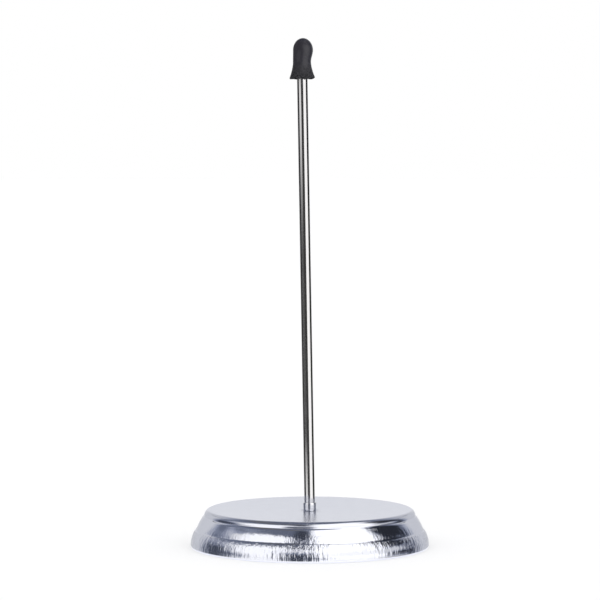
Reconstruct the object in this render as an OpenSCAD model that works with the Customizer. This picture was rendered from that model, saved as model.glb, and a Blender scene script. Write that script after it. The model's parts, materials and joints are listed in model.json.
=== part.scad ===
// Bill spike: a polished spindle that leans a little on a hollow pressed base, with a rubber cap on its point.
// Millimetres, +Z up. The origin is the centre of the rim's seat on the table, and the spindle leans to -X.

/* [Base] */
// Diameter over the bottom rim
base_d = 78; // [60:1:120]
// Height of the top's edge above the table
base_h = 12.5; // [10:0.1:20]
// How far the middle of the top is dished below its edge
dish = 0.6; // [0:0.1:1.5]
// Width of the flat seat round the clamp washer, in the middle of the dish
seat_land = 2; // [0.5:0.5:8]
// Thickness of the pressed sheet
sheet_t = 0.7; // [0.4:0.1:0.9]
// Radius inside the turn of the rim
rim_inner_r = 0.2; // [0.1:0.05:0.6]
// Width of the flat hem turned in under the rim
hem_w = 2.4; // [1:0.1:5]
// Height of the lower band
band_h = 5.75; // [3:0.05:7]
// Slope of the band from upright, at its head
band_slope = 35; // [20:1:40]
// Radius of the turn at the head of the band
step_r = 1; // [0.8:0.1:2]
// Slope from upright of the ledge at the back of that turn
step_slope = 46; // [41:1:65]
// Radius of the hollow at the foot of the shoulder
step_fillet_r = 1.5; // [0.2:0.1:2]
// Slope of the shoulder's flank from upright
flank_slope = 27.5; // [15:0.5:38]
// How much that slope eases from the flank's head to its foot
flank_bow = 12; // [1:0.5:16]
// Radius of the turn at the head of the shoulder
crown_r = 2.8; // [1.1:0.1:3.2]
// Slope from upright of the ledge at the back of that turn
ledge_slope = 50; // [47:1:70]
// Radius of the fillet between that ledge and the top's edge
fillet_r = 0.3; // [0.2:0.05:1]
// Slope from upright of the top's edge, where it meets that fillet
edge_draft = 4; // [0:0.5:8]
// Radius of the top's rounded edge
edge_r = 2; // [1.2:0.1:4]

/* [Spindle] */
// Diameter of the spindle
rod_d = 3.5; // [3:0.1:6]
// Length of the spindle from the base's seat to the end of its point
rod_len = 152.3; // [80:0.1:240]
// Length of the ground point
point_len = 6; // [4:0.5:10]
// Diameter of the blunt end of the point
point_d = 0.4; // [0.2:0.1:1]
// Lean of the spindle from upright, in degrees
lean = 1; // [0:0.25:3]
// Wall of the collar round the foot of the spindle
collar_wall = 0.32; // [0.2:0.02:1.5]
// Height of the collar
collar_h = 2.7; // [1.5:0.1:6]

/* [Fastening] */
// Diameter of the threaded stud under the spindle
stud_d = 3; // [2:0.1:3.4]
// Length of the stud past the nut
stud_out = 1; // [0.5:0.1:2]
// Chamfer on the end of the stud
stud_chamfer = 0.4; // [0.1:0.1:0.8]
// Diameter of the clamp washer
washer_d = 9; // [7:0.5:14]
// Thickness of the clamp washer
washer_t = 0.8; // [0.5:0.1:1.2]
// Diameter of the spring washer
spring_d = 6.2; // [5:0.1:7]
// Thickness of the spring washer
spring_t = 0.8; // [0.5:0.1:1.2]
// Width of the spring washer's split
split_w = 0.5; // [0.3:0.1:1]
// Slant of that split from upright, in degrees
split_slant = 20; // [0:5:30]
// Width of the nut across its flats
nut_w = 5.5; // [5:0.1:8]
// Height of the nut
nut_h = 2.4; // [1.8:0.1:3.2]
// Slope of the chamfer on the nut's corners, in degrees
nut_chamfer = 30; // [15:5:45]

/* [Cap] */
// Height of the cap
cap_h = 13.2; // [12:0.1:20]
// Rubber over the end of the point
cap_top_t = 2; // [1:0.1:4]
// Rubber round the spindle at the waist
cap_wall = 1.13; // [0.7:0.01:2]
// Height of the waist above the mouth
waist_up = 5.4; // [4:0.1:7]
// How far the bulb stands out past the waist
bulb_swell = 0.32; // [0:0.01:0.8]
// Height of the round top, from the widest place up
dome_h = 3.9; // [3:0.1:6]
// How far the mouth flares past the waist
mouth_flare = 1.32; // [0.5:0.01:2]
// How late the flare opens: 1 is a straight cone
flare_curve = 1.6; // [1:0.1:3]
// Thickness of the lip round the mouth
lip_t = 0.6; // [0.3:0.05:1]
// Depth of the bell inside the mouth
bell_depth = 1.8; // [0.5:0.1:3]

/* [Fits] */
// Play of the cap on the spindle, on the radius
cap_fit = 0.05; // [0.02:0.01:0.1]
// Gap between the point and the end of the cap's bore
tip_gap = 0.1; // [0.05:0.05:0.5]
// Gap between the collar and the spindle, on the radius
collar_fit = 0.03; // [0.01:0.01:0.1]
// Play of the stud in the base's hole, on the radius
hole_fit = 0.15; // [0.1:0.01:0.4]
// Play of the stud in the washers, on the radius
washer_fit = 0.1; // [0.05:0.01:0.3]
// Play of the stud in the nut, on the radius
thread_fit = 0.05; // [0.02:0.01:0.1]
// Gap at the nearest point of a seat that tilts with the spindle
seat_fit = 0.02; // [0.01:0.01:0.1]

/* [Hidden] */
$fn = 96;
// Degrees and millimetres between the points of a curved outline
arc_step = 6;
curve_step = 0.6;

// A direction in the outline's plane, by its angle above level
function dir(a) = [cos(a), sin(a)];

// Points round an arc, from one angle to another
function arc(centre, r, from, to) =
    let (turn = abs(to - from), steps = ceil(max(turn / arc_step, turn / 180 * PI * abs(r) / curve_step)))
    [for (i = [0:steps]) centre + r * dir(from + (to - from) * i / steps)];

// The base's outline, worked up from the rim: each turn starts where the last one ends, on the same slope
rim_r = rim_inner_r + sheet_t;
rim_c = [base_d / 2 - rim_r, rim_r];
band_r = (band_h - rim_r) / sin(band_slope);
band_c = [base_d / 2 - band_r, rim_r];
step_c = band_c + (band_r - step_r) * dir(band_slope);
step_fillet_c = step_c + (step_r + step_fillet_r) * dir(step_slope);
flank_head = flank_slope + flank_bow / 2;
flank_foot = flank_slope - flank_bow / 2;
flank_foot_p = step_fillet_c - step_fillet_r * dir(flank_foot);
crown_z = base_h - edge_r + (edge_r + fillet_r) * sin(edge_draft) - (crown_r + fillet_r) * sin(ledge_slope);
flank_rise = crown_z + crown_r * sin(flank_head) - flank_foot_p[1];
flank_r = flank_rise / (sin(flank_head) - sin(flank_foot));
flank_c = flank_foot_p - flank_r * dir(flank_foot);
crown_c = flank_c + (flank_r - crown_r) * dir(flank_head);
fillet_c = crown_c + (crown_r + fillet_r) * dir(ledge_slope);
edge_c = fillet_c - (edge_r + fillet_r) * dir(edge_draft);
// The top falls from its edge to a flat seat, and the slope there tips the start of the edge's turn
seat_r = washer_d / 2 + seat_land;
seat_z = base_h - dish;
dish_slope = atan(dish / (edge_c[0] - seat_r));
hem_inner_r = base_d / 2 - rim_r - hem_w;

// One face of the sheet, from the seat out to the rim: inset 0 is outside, the sheet's thickness inside
function sheet_face(inset) = concat(
    [[hole_r, seat_z - inset], [seat_r, seat_z - inset]],
    arc(edge_c, edge_r - inset, 90 + dish_slope, edge_draft),
    arc(fillet_c, -fillet_r - inset, edge_draft, ledge_slope),
    arc(crown_c, crown_r - inset, ledge_slope, flank_head),
    arc(flank_c, flank_r - inset, flank_head, flank_foot),
    arc(step_fillet_c, -step_fillet_r - inset, flank_foot, step_slope),
    arc(step_c, step_r - inset, step_slope, band_slope),
    arc(band_c, band_r - inset, band_slope, 0),
    arc(rim_c, rim_r - inset, 0, -90));

function reversed(points) = [for (i = [len(points) - 1:-1:0]) points[i]];

// Places along the spindle, measured from the base's seat
rod_r = rod_d / 2;
stud_r = stud_d / 2;
hole_r = stud_r + hole_fit;
collar_r = rod_r + collar_fit + collar_wall;
collar_seat = collar_r * tan(lean) + seat_fit;
washer_top = -(sheet_t + washer_d / 2 * sin(lean)) / cos(lean) - seat_fit;
spring_top = washer_top - washer_t;
nut_top = spring_top - spring_t;
stud_end = nut_top - nut_h - stud_out;
point_foot = rod_len - point_len;
cap_foot = rod_len + cap_top_t - cap_h;

// The cap's outline above its mouth
waist_r = rod_r + cap_fit + cap_wall;
bulb_r = waist_r + bulb_swell;
mouth_r = waist_r + mouth_flare;
dome_foot = cap_h - dome_h;
function ease(s) = s * s * (3 - 2 * s);
function cap_r(h) = h < waist_up
    ? waist_r + mouth_flare * pow(1 - h / waist_up, flare_curve)
    : waist_r + bulb_swell * ease((h - waist_up) / (dome_foot - waist_up));
cap_steps = ceil(dome_foot / curve_step);

// Stands a piece on the spindle's line, with its foot at the base's seat
module on_spindle() {
    translate([0, 0, seat_z]) rotate([0, -lean, 0]) children();
}

// A flat ring that hangs down from the given height
module ring(top, height, outer_r, inner_r) {
    translate([0, 0, top - height]) difference() {
        cylinder(h = height, r = outer_r);
        translate([0, 0, -height]) cylinder(h = 3 * height, r = inner_r);
    }
}

module base_shell() {
    color("gainsboro") rotate_extrude() polygon(concat(
        sheet_face(0), [[hem_inner_r, 0], [hem_inner_r, sheet_t]], reversed(sheet_face(sheet_t))));
}

module spindle_rod() {
    color("silver") on_spindle() rotate_extrude() polygon([
        [0, stud_end], [stud_r - stud_chamfer, stud_end], [stud_r, stud_end + stud_chamfer],
        [stud_r, collar_seat], [rod_r, collar_seat],
        [rod_r, point_foot], [point_d / 2, rod_len], [0, rod_len]]);
}

module foot_collar() {
    color("gainsboro") on_spindle() ring(collar_seat + collar_h, collar_h, collar_r, rod_r + collar_fit);
}

module clamp_washer() {
    color("darkgray") on_spindle() ring(washer_top, washer_t, washer_d / 2, stud_r + washer_fit);
}

module spring_washer() {
    color("dimgray") on_spindle() difference() {
        ring(spring_top, spring_t, spring_d / 2, stud_r + washer_fit);
        translate([spring_d / 2, 0, spring_top - spring_t / 2]) rotate([split_slant, 0, 0])
            cube([spring_d, split_w, 4 * spring_t], center = true);
    }
}

module hex_nut() {
    corner_r = nut_w / 2 / cos(30);
    chamfer_h = (corner_r - nut_w / 2) * tan(nut_chamfer);
    color("silver") on_spindle() translate([0, 0, nut_top - nut_h]) difference() {
        intersection() {
            cylinder(h = nut_h, r = corner_r, $fn = 6);
            rotate_extrude() polygon([
                [0, 0], [nut_w / 2, 0], [corner_r, chamfer_h],
                [corner_r, nut_h - chamfer_h], [nut_w / 2, nut_h], [0, nut_h]]);
        }
        translate([0, 0, -nut_h]) cylinder(h = 3 * nut_h, r = stud_r + thread_fit);
    }
}

module tip_cap() {
    outside = [for (i = [0:cap_steps]) let (h = dome_foot * i / cap_steps) [cap_r(h), cap_foot + h]];
    dome = [for (a = [arc_step:arc_step:90]) [bulb_r * cos(a), cap_foot + dome_foot + dome_h * sin(a)]];
    bore_r = rod_r + cap_fit;
    color("dimgray") on_spindle() rotate_extrude() polygon(concat(
        [[mouth_r - lip_t, cap_foot]], outside, dome,
        [[0, rod_len + tip_gap], [point_d / 2 + cap_fit, rod_len + tip_gap],
         [bore_r, point_foot + tip_gap], [bore_r, cap_foot + bell_depth]]));
}

base_shell();
spindle_rod();
foot_collar();
clamp_washer();
spring_washer();
hex_nut();
tip_cap();
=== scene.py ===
"""Bill spike: the finished surfaces of a desk spike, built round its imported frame.

The file is laid out as an add-on. Property groups hold the sizes, the finishes and the studio, one operator
makes each piece or group, and main() runs them in order. Lengths are in metres and angles in radians.
Pieces on the spindle are turned upright about Z, with heights measured from the base's seat, and then leaned
with it.
"""

import json
import math

import bmesh
import bpy
from mathutils import Matrix, Vector


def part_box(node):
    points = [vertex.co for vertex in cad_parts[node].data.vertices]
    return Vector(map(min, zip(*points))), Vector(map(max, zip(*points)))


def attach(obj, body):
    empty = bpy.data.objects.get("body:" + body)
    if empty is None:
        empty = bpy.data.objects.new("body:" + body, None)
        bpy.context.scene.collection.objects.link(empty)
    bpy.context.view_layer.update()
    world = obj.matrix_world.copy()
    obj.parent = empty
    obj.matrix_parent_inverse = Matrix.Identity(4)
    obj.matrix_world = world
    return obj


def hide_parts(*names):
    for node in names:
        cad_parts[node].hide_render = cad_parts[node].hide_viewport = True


bl_info = {
    "name": "Bill spike",
    "version": (1, 0, 0),
    "blender": (4, 5, 0),
    "location": "View3D > Sidebar > Bill spike",
    "description": "Builds a chrome bill spike with a rubber tip cap, and the studio round it",
    "category": "Object",
}

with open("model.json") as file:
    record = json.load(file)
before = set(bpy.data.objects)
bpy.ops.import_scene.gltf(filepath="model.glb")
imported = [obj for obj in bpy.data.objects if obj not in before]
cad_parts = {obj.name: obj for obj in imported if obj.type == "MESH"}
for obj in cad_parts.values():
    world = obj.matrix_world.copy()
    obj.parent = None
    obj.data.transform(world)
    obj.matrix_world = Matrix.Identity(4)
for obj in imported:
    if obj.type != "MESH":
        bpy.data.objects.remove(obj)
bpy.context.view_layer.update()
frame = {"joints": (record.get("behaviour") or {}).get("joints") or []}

# The spindle leans in the XZ plane, along the line on which the cap pulls off
SPINDLE_AXIS = Vector(frame["joints"][0]["axis"])
LEAN = math.atan2(-SPINDLE_AXIS.x, SPINDLE_AXIS.z)
BASE_LOW, BASE_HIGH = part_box("base_shell")
# The top is dished, and the spindle's seat is in the middle of the dish
DISH = 0.0006
SEAT = BASE_HIGH.z - DISH
# Stands what is made upright on the spindle's line, with its foot on the seat
UPON_SEAT = Matrix.Translation((0, 0, SEAT)) @ Matrix.Rotation(-LEAN, 4, "Y")

# Marks on an outline's points: two shape the surface as it is turned, the others steer what comes after
SHAPE_MARKS = ("thread", "hexed")
FINISH_MARKS = ("worked", "satin", "inside")
# The waves round the cap's lip: how many, where they start in radians, and their share of its rise and fall
LIP_WAVES = ((2.0, 0.4, 1.0), (5.0, 2.1, 0.6))
# How strongly the base's walls are drawn, each from its head to its foot
DRAWN_WALLS = {
    "fillet": 0.1, "crown": 0.1, "flank": (0.02, 0.5), "step_fillet": (0.5, 0.4),
    "step": (0.4, 1.0), "band": (1.0, 0.7), "rim": (0.7, 0.0),
}
# Rows of points for each pitch of a thread
ROWS_PER_PITCH = 10
# Vertices nearer than this are one
MERGE_DISTANCE = 1e-6
FULL_TURN = math.tau


def leaning_box(node):
    """Width, height and foot of a round or hexagonal piece on the leaning spindle, read from its box."""
    low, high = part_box(node)
    cos, sin = math.cos(LEAN), math.sin(LEAN)
    span_x, span_z = high.x - low.x, high.z - low.z
    height = (span_z * cos - span_x * sin) / (cos * cos - sin * sin)
    width = (span_x * cos - span_z * sin) / (cos * cos - sin * sin)
    middle = ((low.z + high.z) / 2 - SEAT) / cos
    return width, height, middle - height / 2


ROD_LOW, ROD_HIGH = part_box("spindle_rod")
CAP_LOW, CAP_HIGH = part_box("tip_cap")
COLLAR_D, COLLAR_H, COLLAR_FOOT = leaning_box("foot_collar")
WASHER_D, WASHER_T, WASHER_FOOT = leaning_box("clamp_washer")
SPRING_D, SPRING_T, SPRING_FOOT = leaning_box("spring_washer")
NUT_CORNERS, NUT_H, NUT_FOOT = leaning_box("hex_nut")


def number(description, default, **kind):
    """A plain number, or the given kind of one."""
    return bpy.props.FloatProperty(description=description, default=default, **{"precision": 3, **kind})


def length(description, default):
    """A length in metres, shown to a hundredth of a millimetre."""
    return number(description, default, unit="LENGTH", precision=5)


def angle(description, degrees):
    """An angle, written here in degrees."""
    return number(description, math.radians(degrees), subtype="ANGLE")


def share(description, default):
    """A number from 0 to 1."""
    return number(description, default, min=0.0, max=1.0, subtype="FACTOR")


def colour(description, default):
    """A linear colour."""
    return bpy.props.FloatVectorProperty(
        description=description, default=default, size=3, min=0.0, max=1.0, subtype="COLOR")


class SpikeBaseSizes(bpy.types.PropertyGroup):
    """Sizes of the base, which is drawn from one sheet."""

    diameter: length("Across the rim", BASE_HIGH.x - BASE_LOW.x)
    height: length("From the table to the edge of the top", BASE_HIGH.z)
    dish: length("How far the middle of the top lies below its edge", DISH)
    seat_r: length("Radius of the flat seat in the middle of the dish", 0.0065)
    seat_blend: length("Reach of the soft bend between the seat and the dish", 0.002)
    sheet_t: length("Thickness of the sheet", 0.0007)
    rim_inner_r: length("Inner radius where the rim turns in", 0.0002)
    hem_w: length("Width of the hem turned in under the rim", 0.0024)
    band_h: length("From the table to the head of the lower band", 0.00575)
    band_slope: angle("Slope of the lower band at its head", 35)
    step_r: length("Turn at the head of the band", 0.001)
    step_slope: angle("Slope of the ledge behind that turn", 46)
    step_fillet_r: length("Hollow radius at the foot of the shoulder", 0.0015)
    flank_slope: angle("Slope of the shoulder's flank", 27.5)
    flank_bow: angle("How much that slope eases from head to foot", 12)
    crown_r: length("Turn at the head of the shoulder", 0.0028)
    ledge_slope: angle("Slope of the ledge under the top", 50)
    fillet_r: length("Hollow radius under the top's edge", 0.0003)
    edge_draft: angle("Slope of the top's edge where it meets the hollow", 4)
    edge_r: length("Round at the edge of the top", 0.002)
    hole_r: length("Hole for the threaded stud", 0.00165)
    mark_depth: length("Depth of the drawing marks pressed into the band", 0.00018)
    mark_width: length("Usual width of one drawing mark", 0.0008)
    mark_height: length("Usual height of one drawing mark", 0.0028)
    mark_seed: number("Which draw of the marks it is", 3.0)


class SpikeSpindleSizes(bpy.types.PropertyGroup):
    """Sizes of the spindle, its threaded stud and the ring round its foot."""

    rod_d: length("Diameter of the rod", ROD_HIGH.y - ROD_LOW.y)
    rod_len: length("From the base's seat to the point", 0.1523)
    foot_r: length("Round on the rod's foot", 0.0001)
    point_len: length("Length of the ground point", 0.006)
    point_d: length("Diameter left at the tip", 0.0004)
    stud_d: length("Outer diameter of the thread", 0.003)
    stud_end: length("Lower end of the stud", (ROD_LOW.z - SEAT) / math.cos(LEAN))
    stud_chamfer: length("Chamfer at the end of the stud", 0.0004)
    pitch: length("Pitch of the thread", 0.0005)
    thread_depth: length("From crest to root", 0.00028)
    collar_wall: length("Wall of the ring round the foot", 0.00032)
    edge_r: length("Round on the ring's edges", 0.00015)


class SpikeFastenerSizes(bpy.types.PropertyGroup):
    """Sizes of the washers and the nut under the base."""

    washer_d: length("Diameter of the plain washer", WASHER_D)
    washer_t: length("Thickness of the plain washer", WASHER_T)
    spring_d: length("Diameter of the spring washer", SPRING_D)
    spring_t: length("Thickness of the spring washer", SPRING_T)
    split_w: length("Width of the spring washer's split", 0.0005)
    split_slant: angle("Slant of the split", 20)
    washer_fit: length("Gap between a washer and the stud", 0.0001)
    thread_fit: length("Gap between the nut and the stud", 0.00005)
    nut_w: length("Width across the nut's flats", NUT_CORNERS * math.cos(math.radians(30)))
    nut_h: length("Height of the nut", NUT_H)
    nut_chamfer: angle("Slope of the chamfer on the nut's corners", 30)
    edge_r: length("Round on the washers' edges", 0.00012)


class SpikeCapSizes(bpy.types.PropertyGroup):
    """Sizes of the rubber cap over the point."""

    mouth_d: length("Diameter of the flared mouth", CAP_HIGH.y - CAP_LOW.y)
    height: length("From the mouth to the top", 0.0132)
    top_t: length("Rubber above the point", 0.002)
    wall: length("Rubber round the rod at the waist", 0.00113)
    waist_up: length("Height of the waist above the mouth", 0.0054)
    bulb_swell: length("How far the head swells past the waist", 0.00032)
    dome_h: length("Height of the round top above the widest place", 0.0039)
    flare_curve: number("How late the mouth flares", 1.6)
    lip_t: length("Thickness of the lip", 0.0006)
    bell_depth: length("Depth of the bell inside the mouth", 0.0018)
    fit: length("Gap between the cap and the rod", 0.00005)
    tip_gap: length("Gap above the point", 0.0001)
    bend: length("How far the head sits off the rod's line", 0.0004)
    lip_wave: length("Rise and fall of the soft lip", 0.00018)


class SpikeFinishes(bpy.types.PropertyGroup):
    """Colours and polish of the materials."""

    chrome: colour("Plated sheet of the base", (0.735, 0.745, 0.81))
    chrome_rough: share("Polish of the drawn walls", 0.10)
    chrome_cloud: colour("Faint clouds in that plating", (0.55, 0.56, 0.60))
    satin: colour("Duller plating of the top", (0.66, 0.67, 0.73))
    satin_rough: share("Satin of the top", 0.26)
    inside: colour("Thin grey plating under the base", (0.42, 0.42, 0.43))
    inside_rough: share("Dullness of that plating", 0.42)
    steel: colour("Polished bar", (0.72, 0.71, 0.71))
    steel_rough: share("Polish of the bar", 0.09)
    steel_line: colour("Fine lines along the bar", (0.60, 0.58, 0.57))
    point_rough: share("Dullness of the ground point", 0.30)
    ring: colour("Plated ring round the foot", (0.78, 0.78, 0.80))
    ring_cloud: colour("Faint clouds on the ring", (0.62, 0.62, 0.65))
    zinc: colour("Plating of the nut and the plain washer", (0.60, 0.62, 0.64))
    zinc_blue: colour("Its blue clouds", (0.50, 0.55, 0.62))
    zinc_yellow: colour("Its yellow clouds", (0.66, 0.61, 0.50))
    spring: colour("Oiled spring washer", (0.16, 0.16, 0.17))
    spring_cloud: colour("Brown clouds on that washer", (0.24, 0.21, 0.19))
    rubber: colour("Moulded black rubber", (0.0195, 0.0180, 0.0260))
    rubber_rough: share("Satin of the rubber", 0.40)
    # Painted sheen: the drag lines' colour is lighter than the rubber, standing in for faint upright streak
    # highlights
    drag: colour("Upright drag lines on the rubber", (0.036, 0.035, 0.042))
    skirt: colour("Rough rubber of the skirt", (0.034, 0.033, 0.038))
    skirt_rough: share("Dullness of the skirt", 0.78)
    skirt_worn: colour("Dark patches on the skirt", (0.001, 0.001, 0.002))


class SpikeStudio(bpy.types.PropertyGroup):
    """Camera, light and floor."""

    camera_distance: length("In front of the base's axis", 1.0)
    camera_height: length("Above the table", 0.1405)
    camera_side: length("Sideways place of the camera", -0.0032)
    aim_height: length("Height of the middle of the picture", 0.081)
    lens: number("Focal length in millimetres on a 36 mm sensor", 184.24)
    ambient: number("Level of the even light", 0.80)
    floor: colour("Pale floor", (0.97, 0.97, 0.97))
    floor_white: share("Share of the floor that shows as plain white", 0.45)
    floor_near: length("Radius inside which the floor has no polish", 0.0392)
    floor_blend: length("Width over which its polish comes in", 0.001)
    floor_glow: number("Brightness of the floor under the rim, in the metal", 1.8)
    floor_rough: share("Polish of the floor in reflections", 0.12)
    lamp_power: number("Strength of each soft lamp", 0.55)
    lamp_spread: angle("How broad each soft lamp looks from the object", 50)


# Nodes


class Graph:
    """Adds nodes to a tree and wires them as they are made."""

    def __init__(self, tree):
        self.tree = tree

    def add(self, kind, inputs=None, **settings):
        """A node with its options set, and its inputs set or wired by name or place."""
        node = self.tree.nodes.new(kind)
        for name, value in settings.items():
            setattr(node, name, value)
        for key, value in (inputs or {}).items():
            if isinstance(value, bpy.types.NodeSocket):
                self.link(value, node.inputs[key])
            else:
                node.inputs[key].default_value = value
        return node

    def link(self, output, socket):
        """Wires an output to a socket."""
        self.tree.links.new(output, socket)

    def math(self, operation, *values):
        """The result of a sum on numbers."""
        return self.add("ShaderNodeMath", dict(enumerate(values)), operation=operation).outputs[0]

    def product(self, *values):
        """The product of two or more numbers."""
        result = values[0]
        for value in values[1:]:
            result = self.math("MULTIPLY", result, value)
        return result

    def whole(self, operation, *values):
        """The result of a sum on whole numbers."""
        return self.add("FunctionNodeIntegerMath", dict(enumerate(values)), operation=operation).outputs[0]

    def vector(self, operation, *values):
        """The result of a sum on vectors."""
        return self.add("ShaderNodeVectorMath", dict(enumerate(values)), operation=operation).outputs[0]

    def scaled(self, vector, factor):
        """A vector times a number."""
        return self.add("ShaderNodeVectorMath", {0: vector, 3: factor}, operation="SCALE").outputs[0]

    def size(self, vector):
        """How long a vector is."""
        return self.add("ShaderNodeVectorMath", {0: vector}, operation="LENGTH").outputs["Value"]

    def split(self, vector):
        """The X, Y and Z of a vector."""
        return self.add("ShaderNodeSeparateXYZ", {0: vector}).outputs

    def join(self, x, y, z):
        """A vector from three numbers."""
        return self.add("ShaderNodeCombineXYZ", {0: x, 1: y, 2: z}).outputs[0]

    def stored(self, name):
        """A number stored on the mesh, for a Geometry Nodes tree."""
        return self.add("GeometryNodeInputNamedAttribute", {"Name": name}, data_type="FLOAT").outputs[0]

    def ease(self, value, start, end, low=0.0, high=1.0):
        """Goes smoothly from low to high as the value goes from start to end."""
        spread = {"Value": value, "From Min": start, "From Max": end, "To Min": low, "To Max": high}
        return self.add("ShaderNodeMapRange", spread, interpolation_type="SMOOTHSTEP").outputs[0]

    def noise(self, place, scale, detail=2.0, rough=0.5):
        """Fractal noise from 0 to 1 at a place."""
        inputs = {"Vector": place, "Scale": scale, "Detail": detail, "Roughness": rough}
        return self.add("ShaderNodeTexNoise", inputs).outputs[0]


def new_tree(name, numbers, whole=()):
    """A Geometry Nodes tree with a geometry in and out, a material, and the named numbers to set."""
    tree = bpy.data.node_groups.new(name, "GeometryNodeTree")
    kinds = {"Geometry": "Geometry", **dict.fromkeys(whole, "Int"), **dict.fromkeys(numbers, "Float"),
             "Material": "Material"}
    for label, kind in kinds.items():
        tree.interface.new_socket(label, in_out="INPUT", socket_type="NodeSocket" + kind)
    tree.interface.new_socket("Geometry", in_out="OUTPUT", socket_type="NodeSocketGeometry")
    graph = Graph(tree)
    return graph, graph.add("NodeGroupInput").outputs


def end_tree(graph, geometry, material):
    """Ends a tree with plain, smooth geometry in one material."""
    smooth = graph.add("GeometryNodeSetShadeSmooth", {"Geometry": geometry}).outputs[0]
    real = graph.add("GeometryNodeRealizeInstances", {"Geometry": smooth}).outputs[0]
    dressed = graph.add("GeometryNodeSetMaterial", {"Geometry": real, "Material": material}).outputs[0]
    graph.add("NodeGroupOutput", {0: dressed})
    return graph.tree


def turned_tree():
    """Turns an outline of (radius, 0, height) points about Z, with a thread or flats where it is marked."""
    numbers = ("Start", "Sweep", "Slant", "Thread pitch", "Thread depth", "Corner chamfer")
    graph, given = new_tree("turned piece", numbers, whole=("Segments",))
    outline = given["Geometry"]
    rows = graph.add("GeometryNodeAttributeDomainSize", {0: outline}, component="MESH").outputs["Point Count"]
    columns = graph.whole("ADD", given["Segments"], 1)
    grid = graph.add("GeometryNodeMeshGrid", {"Vertices X": columns, "Vertices Y": rows}).outputs["Mesh"]
    index = graph.add("GeometryNodeInputIndex").outputs[0]
    row = graph.whole("MODULO", index, rows)
    column = graph.whole("DIVIDE_FLOOR", index, rows)

    def sample(value, kind):
        inputs = {"Geometry": outline, "Value": value, "Index": row}
        return graph.add("GeometryNodeSampleIndex", inputs, data_type=kind, domain="POINT").outputs[0]

    def mark(name):
        return sample(graph.stored(name), "FLOAT")

    point = sample(graph.add("GeometryNodeInputPosition").outputs[0], "FLOAT_VECTOR")
    radius, _, height = graph.split(point)
    part = graph.math("DIVIDE", column, given["Segments"])
    turn = graph.math("MULTIPLY_ADD", part, given["Sweep"], given["Start"])

    # The thread falls from its crest to its root and back once for each pitch of height or turn
    turns = graph.math("DIVIDE", turn, FULL_TURN)
    phase = graph.math("SUBTRACT", graph.math("DIVIDE", height, given["Thread pitch"]), turns)
    cut = graph.product(graph.math("PINGPONG", phase, 0.5), given["Thread depth"], 2.0, mark("thread"))
    threaded = graph.math("SUBTRACT", radius, cut)

    # Six flats: the radius grows towards each corner, where the chamfer takes the height back
    sixth = FULL_TURN / 6
    off_flat = graph.math("SUBTRACT", graph.math("FLOORED_MODULO", turn, sixth), sixth / 2)
    corner = graph.math("SUBTRACT", graph.math("DIVIDE", 1.0, graph.math("COSINE", off_flat)), 1.0)
    hexed = mark("hexed")
    spread = graph.product(corner, radius, graph.math("ABSOLUTE", hexed))
    drop = graph.product(spread, given["Corner chamfer"], hexed)
    reach = graph.math("ADD", threaded, spread)
    level = graph.math("SUBTRACT", height, drop)

    around = graph.math("MULTIPLY_ADD", height, given["Slant"], turn)
    place = graph.join(graph.product(reach, graph.math("COSINE", around)),
                       graph.product(reach, graph.math("SINE", around)), level)
    body = graph.add("GeometryNodeSetPosition", {"Geometry": grid, "Position": place}).outputs[0]
    for name in FINISH_MARKS:
        inputs = {"Geometry": body, "Name": name, "Value": mark(name)}
        store = graph.add("GeometryNodeStoreNamedAttribute", inputs, data_type="FLOAT", domain="POINT")
        body = store.outputs[0]
    merged = graph.add("GeometryNodeMergeByDistance", {"Geometry": body, "Distance": MERGE_DISTANCE})
    return end_tree(graph, merged.outputs[0], given["Material"])


def mark_tree():
    """Presses upright drawing marks into the surface, as deep as its worked mark says."""
    graph, given = new_tree("drawing marks", ("Depth", "Width", "Height", "Seed"))
    place = graph.add("GeometryNodeInputPosition").outputs[0]
    outward = graph.vector("NORMALIZE", graph.vector("MULTIPLY", place, (1, 1, 0)))
    along = graph.scaled(outward, graph.math("DIVIDE", graph.size(place), given["Width"]))
    up = graph.math("DIVIDE", graph.split(place)["Z"], given["Height"])
    spot = graph.vector("ADD", along, graph.join(0.0, 0.0, up))
    noise = graph.add("ShaderNodeTexNoise", {"Vector": spot, "W": given["Seed"], "Scale": 1.0, "Detail": 1.0},
                      noise_dimensions="4D").outputs[0]
    push = graph.product(graph.math("SUBTRACT", noise, 0.5), given["Depth"], graph.stored("worked"))
    offset = graph.scaled(graph.add("GeometryNodeInputNormal").outputs[0], push)
    moved = graph.add("GeometryNodeSetPosition", {"Geometry": given["Geometry"], "Offset": offset})
    return end_tree(graph, moved.outputs[0], given["Material"])


def soft_tree():
    """Sets moulded rubber a little out of true: its head leans off the line, and its lip rises and falls."""
    numbers = ("Bend", "Bend foot", "Bend head", "Lip wave", "Lip", "Lip reach")
    graph, given = new_tree("soft set", numbers)
    x, y, height = graph.split(graph.add("GeometryNodeInputPosition").outputs[0])
    outside = graph.math("SUBTRACT", 1.0, graph.stored("inside"))
    off_line = graph.ease(height, given["Bend foot"], given["Bend head"])
    bend = graph.product(off_line, given["Bend"], outside)
    turn = graph.math("ARCTAN2", y, x)
    wave = 0.0
    for count, phase, part in LIP_WAVES:
        swing = graph.math("SINE", graph.math("MULTIPLY_ADD", turn, count, phase))
        wave = graph.math("MULTIPLY_ADD", swing, part, wave)
    high = graph.math("ADD", given["Lip"], given["Lip reach"])
    near_lip = graph.ease(height, given["Lip"], high, 1.0, 0.0)
    rise = graph.product(wave, near_lip, given["Lip wave"])
    inputs = {"Geometry": given["Geometry"], "Offset": graph.join(bend, 0.0, rise)}
    moved = graph.add("GeometryNodeSetPosition", inputs)
    return end_tree(graph, moved.outputs[0], given["Material"])


# Outlines


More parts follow.
